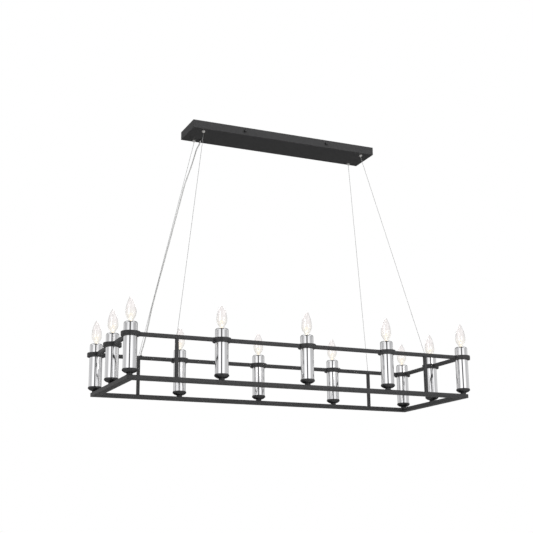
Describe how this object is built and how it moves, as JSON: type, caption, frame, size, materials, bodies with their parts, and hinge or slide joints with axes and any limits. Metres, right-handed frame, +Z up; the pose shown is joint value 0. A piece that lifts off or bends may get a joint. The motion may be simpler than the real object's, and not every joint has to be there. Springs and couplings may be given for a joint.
{
  "type": "linear island pendant",
  "caption": "Open two-tier rectangular frame of candle lights that hangs from a long box canopy on steel cables, for a kitchen island or a long table.",
  "frame": {"origin": "middle of the mounting bracket's and the canopy's plane against the ceiling", "axes": "+Z up into the ceiling, +X along the canopy and the long sides of the frame, -Y the front, where the viewer stands; the power cord is at the back left"},
  "size_m": [1.302, 0.4768, 0.9687],
  "materials": {
    "black_paint": "satin black powder coat on steel",
    "chrome_plate": "polished plated steel tube",
    "clear_glass": "clear glass, with a plated screw cap and a filament on its mount",
    "steel_cable": "stranded steel cable",
    "satin_nickel": "satin nickel plate",
    "zinc_plated_steel": "bright zinc plate on stamped steel",
    "ground_screw_steel": "green dyed zinc plate",
    "cord_jacket": "translucent silver-grey jacket",
    "bushing_nylon": "moulded nylon",
    "lead_insulation": "insulated stranded wire with twist-on connectors",
    "stem_steel": "zinc plated threaded pipe",
    "socket_plastic": "moulded phenolic lamp socket"
  },
  "bodies": {
    "fixture": {"mounting_bracket": "zinc_plated_steel", "ground_screw": "ground_screw_steel", "canopy": "black_paint", "hanging_cable_front_left": "steel_cable", "hanging_cable_front_right": "steel_cable", "hanging_cable_back_left": "steel_cable", "hanging_cable_back_right": "steel_cable", "grip_bodies": "satin_nickel", "grip_nuts": "satin_nickel", "cable_stops": "satin_nickel", "power_cord": "cord_jacket", "cord_bushings": "bushing_nylon", "supply_leads": "lead_insulation", "upper_rail_front": "black_paint", "upper_rail_back": "black_paint", "upper_rail_left": "black_paint", "upper_rail_right": "black_paint", "posts": "black_paint", "lower_rail_front": "black_paint", "lower_rail_back": "black_paint", "lower_rail_left": "black_paint", "lower_rail_right": "black_paint", "rings": "black_paint", "necks": "black_paint", "dishes": "black_paint", "frame_wiring": "lead_insulation", "stems": "stem_steel", "sockets": "socket_plastic", "candle_tube_front_1": "chrome_plate", "candle_tube_front_2": "chrome_plate", "candle_tube_front_3": "chrome_plate", "candle_tube_front_4": "chrome_plate", "candle_tube_front_5": "chrome_plate", "candle_tube_back_1": "chrome_plate", "candle_tube_back_2": "chrome_plate", "candle_tube_back_3": "chrome_plate", "candle_tube_back_4": "chrome_plate", "candle_tube_back_5": "chrome_plate", "candle_tube_left": "chrome_plate", "candle_tube_right": "chrome_plate"},
    "bulb_front_1": {"bulb_front_1": "clear_glass"},
    "bulb_front_2": {"bulb_front_2": "clear_glass"},
    "bulb_front_3": {"bulb_front_3": "clear_glass"},
    "bulb_front_4": {"bulb_front_4": "clear_glass"},
    "bulb_front_5": {"bulb_front_5": "clear_glass"},
    "bulb_back_1": {"bulb_back_1": "clear_glass"},
    "bulb_back_2": {"bulb_back_2": "clear_glass"},
    "bulb_back_3": {"bulb_back_3": "clear_glass"},
    "bulb_back_4": {"bulb_back_4": "clear_glass"},
    "bulb_back_5": {"bulb_back_5": "clear_glass"},
    "bulb_left": {"bulb_left": "clear_glass"},
    "bulb_right": {"bulb_right": "clear_glass"},
    "release_sleeve_front_left": {"release_sleeve_front_left": "satin_nickel"},
    "release_sleeve_front_right": {"release_sleeve_front_right": "satin_nickel"},
    "release_sleeve_back_left": {"release_sleeve_back_left": "satin_nickel"},
    "release_sleeve_back_right": {"release_sleeve_back_right": "satin_nickel"},
    "thumb_screw_front_left": {"thumb_screw_front_left": "black_paint"},
    "thumb_screw_front_right": {"thumb_screw_front_right": "black_paint"},
    "thumb_screw_back_left": {"thumb_screw_back_left": "black_paint"},
    "thumb_screw_back_right": {"thumb_screw_back_right": "black_paint"}
  },
  "joints": [
    {"name": "bulb_lift_front_1", "type": "slide", "parent": "fixture", "child": "bulb_front_1", "axis": [0, 0, 1], "range_m": [0, 0.032]},
    {"name": "bulb_lift_front_2", "type": "slide", "parent": "fixture", "child": "bulb_front_2", "axis": [0, 0, 1], "range_m": [0, 0.032]},
    {"name": "bulb_lift_front_3", "type": "slide", "parent": "fixture", "child": "bulb_front_3", "axis": [0, 0, 1], "range_m": [0, 0.032]},
    {"name": "bulb_lift_front_4", "type": "slide", "parent": "fixture", "child": "bulb_front_4", "axis": [0, 0, 1], "range_m": [0, 0.032]},
    {"name": "bulb_lift_front_5", "type": "slide", "parent": "fixture", "child": "bulb_front_5", "axis": [0, 0, 1], "range_m": [0, 0.032]},
    {"name": "bulb_lift_back_1", "type": "slide", "parent": "fixture", "child": "bulb_back_1", "axis": [0, 0, 1], "range_m": [0, 0.032]},
    {"name": "bulb_lift_back_2", "type": "slide", "parent": "fixture", "child": "bulb_back_2", "axis": [0, 0, 1], "range_m": [0, 0.032]},
    {"name": "bulb_lift_back_3", "type": "slide", "parent": "fixture", "child": "bulb_back_3", "axis": [0, 0, 1], "range_m": [0, 0.032]},
    {"name": "bulb_lift_back_4", "type": "slide", "parent": "fixture", "child": "bulb_back_4", "axis": [0, 0, 1], "range_m": [0, 0.032]},
    {"name": "bulb_lift_back_5", "type": "slide", "parent": "fixture", "child": "bulb_back_5", "axis": [0, 0, 1], "range_m": [0, 0.032]},
    {"name": "bulb_lift_left", "type": "slide", "parent": "fixture", "child": "bulb_left", "axis": [0, 0, 1], "range_m": [0, 0.032]},
    {"name": "bulb_lift_right", "type": "slide", "parent": "fixture", "child": "bulb_right", "axis": [0, 0, 1], "range_m": [0, 0.032]},
    {"name": "sleeve_press_front_left", "type": "slide", "parent": "fixture", "child": "release_sleeve_front_left", "axis": [0, 0, 1], "range_m": [0, 0.002], "stiffness_N_per_m": 500, "springref_m": -0.002},
    {"name": "sleeve_press_front_right", "type": "slide", "parent": "fixture", "child": "release_sleeve_front_right", "axis": [0, 0, 1], "range_m": [0, 0.002], "stiffness_N_per_m": 500, "springref_m": -0.002},
    {"name": "sleeve_press_back_left", "type": "slide", "parent": "fixture", "child": "release_sleeve_back_left", "axis": [0, 0, 1], "range_m": [0, 0.002], "stiffness_N_per_m": 500, "springref_m": -0.002},
    {"name": "sleeve_press_back_right", "type": "slide", "parent": "fixture", "child": "release_sleeve_back_right", "axis": [0, 0, 1], "range_m": [0, 0.002], "stiffness_N_per_m": 500, "springref_m": -0.002},
    {"name": "thumb_screw_out_front_left", "type": "slide", "parent": "fixture", "child": "thumb_screw_front_left", "axis": [0, -1, 0], "range_m": [0, 0.008]},
    {"name": "thumb_screw_out_front_right", "type": "slide", "parent": "fixture", "child": "thumb_screw_front_right", "axis": [0, -1, 0], "range_m": [0, 0.008]},
    {"name": "thumb_screw_out_back_left", "type": "slide", "parent": "fixture", "child": "thumb_screw_back_left", "axis": [0, 1, 0], "range_m": [0, 0.008]},
    {"name": "thumb_screw_out_back_right", "type": "slide", "parent": "fixture", "child": "thumb_screw_back_right", "axis": [0, 1, 0], "range_m": [0, 0.008]}
  ]
}
